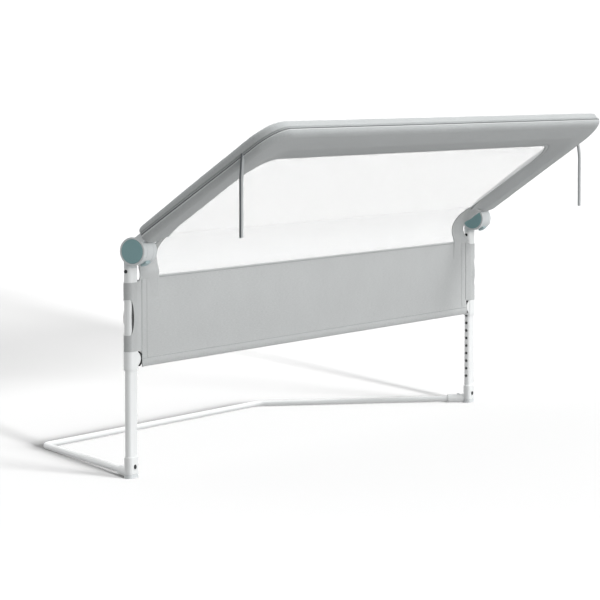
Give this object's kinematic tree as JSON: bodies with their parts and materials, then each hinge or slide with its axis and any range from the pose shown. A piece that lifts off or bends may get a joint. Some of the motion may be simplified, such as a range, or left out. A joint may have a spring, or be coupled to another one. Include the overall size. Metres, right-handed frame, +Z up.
{
  "type": "folding bed guard rail",
  "caption": "Free-standing bed guard rail: flat-oval posts on a bent base bar, cloth skirt, and a padded mesh guard that folds outward on locking barrel hinges; height adjusts at the posts.",
  "frame": {"origin": "on the floor, at the middle of the whole rail's length and depth", "axes": "+X along the rail, +Y toward the bed, +Z up"},
  "size_m": [1.5174, 0.6804, 0.629],
  "materials": {
    "coated_steel": "satin",
    "white_plastic": "satin",
    "pale_plastic": "satin",
    "teal_plastic": "satin",
    "pale_teal_plastic": "satin",
    "black_plastic": "satin",
    "dark_steel": "satin",
    "bare_steel": "satin",
    "bare_aluminium": "satin",
    "grey_cloth": "matte",
    "guard_cloth": "matte",
    "white_mesh": "matte"
  },
  "bodies": {
    "base": {"base_bar": "coated_steel", "left_base_bracket": "white_plastic", "left_foot_cap": "pale_plastic", "left_bracket_screw": "dark_steel", "left_lower_post": "coated_steel", "right_base_bracket": "white_plastic", "right_foot_cap": "pale_plastic", "right_bracket_screw": "dark_steel", "right_lower_post": "coated_steel"},
    "left_snap": {"left_base_snap_button": "bare_steel"},
    "right_snap": {"right_base_snap_button": "bare_steel"},
    "upper_frame": {"left_upper_post": "coated_steel", "left_post_collar": "white_plastic", "left_hinge_knuckle": "pale_plastic", "left_hinge_axle": "bare_steel", "left_post_rivet": "dark_steel", "left_skirt_sleeve": "grey_cloth", "left_corner_band": "grey_cloth", "right_upper_post": "coated_steel", "right_post_collar": "white_plastic", "right_hinge_knuckle": "pale_plastic", "right_hinge_axle": "bare_steel", "right_post_rivet": "dark_steel", "right_skirt_sleeve": "grey_cloth", "right_corner_band": "grey_cloth", "skirt_panel": "grey_cloth", "mesh_fold": "white_mesh"},
    "left_latch": {"left_height_latch": "black_plastic"},
    "right_latch": {"right_height_latch": "black_plastic"},
    "left_release": {"left_release_button": "pale_teal_plastic"},
    "right_release": {"right_release_button": "pale_teal_plastic"},
    "guard": {"guard_frame_tube": "bare_aluminium", "guard_cover": "guard_cloth", "mesh_panel": "white_mesh", "left_hinge_arm": "pale_plastic", "left_outer_cap": "teal_plastic", "left_inner_cap": "teal_plastic", "right_hinge_arm": "pale_plastic", "right_outer_cap": "teal_plastic", "right_inner_cap": "teal_plastic"},
    "left_strap": {"left_hanging_strap": "guard_cloth"},
    "right_strap": {"right_hanging_strap": "guard_cloth"}
  },
  "joints": [
    {"name": "height_slide", "type": "slide", "parent": "base", "child": "upper_frame", "axis": [0, 0, 1], "range_m": [-0.1485, 0]},
    {"name": "guard_swing", "type": "hinge", "parent": "upper_frame", "child": "guard", "pos_m": [0, -0.04716, 0.402], "axis": [1, 0, 0], "range_deg": [-54.7, 125.3], "deforming": ["mesh_fold", "left_corner_band", "right_corner_band"]},
    {"name": "left_latch_pull", "type": "slide", "parent": "upper_frame", "child": "left_latch", "axis": [-1, 0, 0], "range_m": [0, 0.0025]},
    {"name": "left_release_push", "type": "slide", "parent": "upper_frame", "child": "left_release", "axis": [0, 0.5299, 0.848], "range_m": [0, 0.003], "stiffness_N_per_m": 800},
    {"name": "left_snap_press", "type": "slide", "parent": "base", "child": "left_snap", "axis": [0, 0, -1], "range_m": [0, 0.002], "stiffness_N_per_m": 1500},
    {"name": "left_strap_swing", "type": "hinge", "parent": "guard", "child": "left_strap", "pos_m": [-0.7527, -0.27066, 0.575], "axis": [1, 0, 0], "range_deg": [-125.3, 54.7]},
    {"name": "right_latch_pull", "type": "slide", "parent": "upper_frame", "child": "right_latch", "axis": [1, 0, 0], "range_m": [0, 0.0025]},
    {"name": "right_release_push", "type": "slide", "parent": "upper_frame", "child": "right_release", "axis": [0, 0.5299, 0.848], "range_m": [0, 0.003], "stiffness_N_per_m": 800},
    {"name": "right_snap_press", "type": "slide", "parent": "base", "child": "right_snap", "axis": [0, 0, -1], "range_m": [0, 0.002], "stiffness_N_per_m": 1500},
    {"name": "right_strap_swing", "type": "hinge", "parent": "guard", "child": "right_strap", "pos_m": [0.7527, -0.27066, 0.575], "axis": [1, 0, 0], "range_deg": [-125.3, 54.7]}
  ],
  "couplings": [
    {"joint": "left_strap_swing", "follows": "guard_swing", "ratio": -1},
    {"joint": "right_strap_swing", "follows": "guard_swing", "ratio": -1}
  ]
}
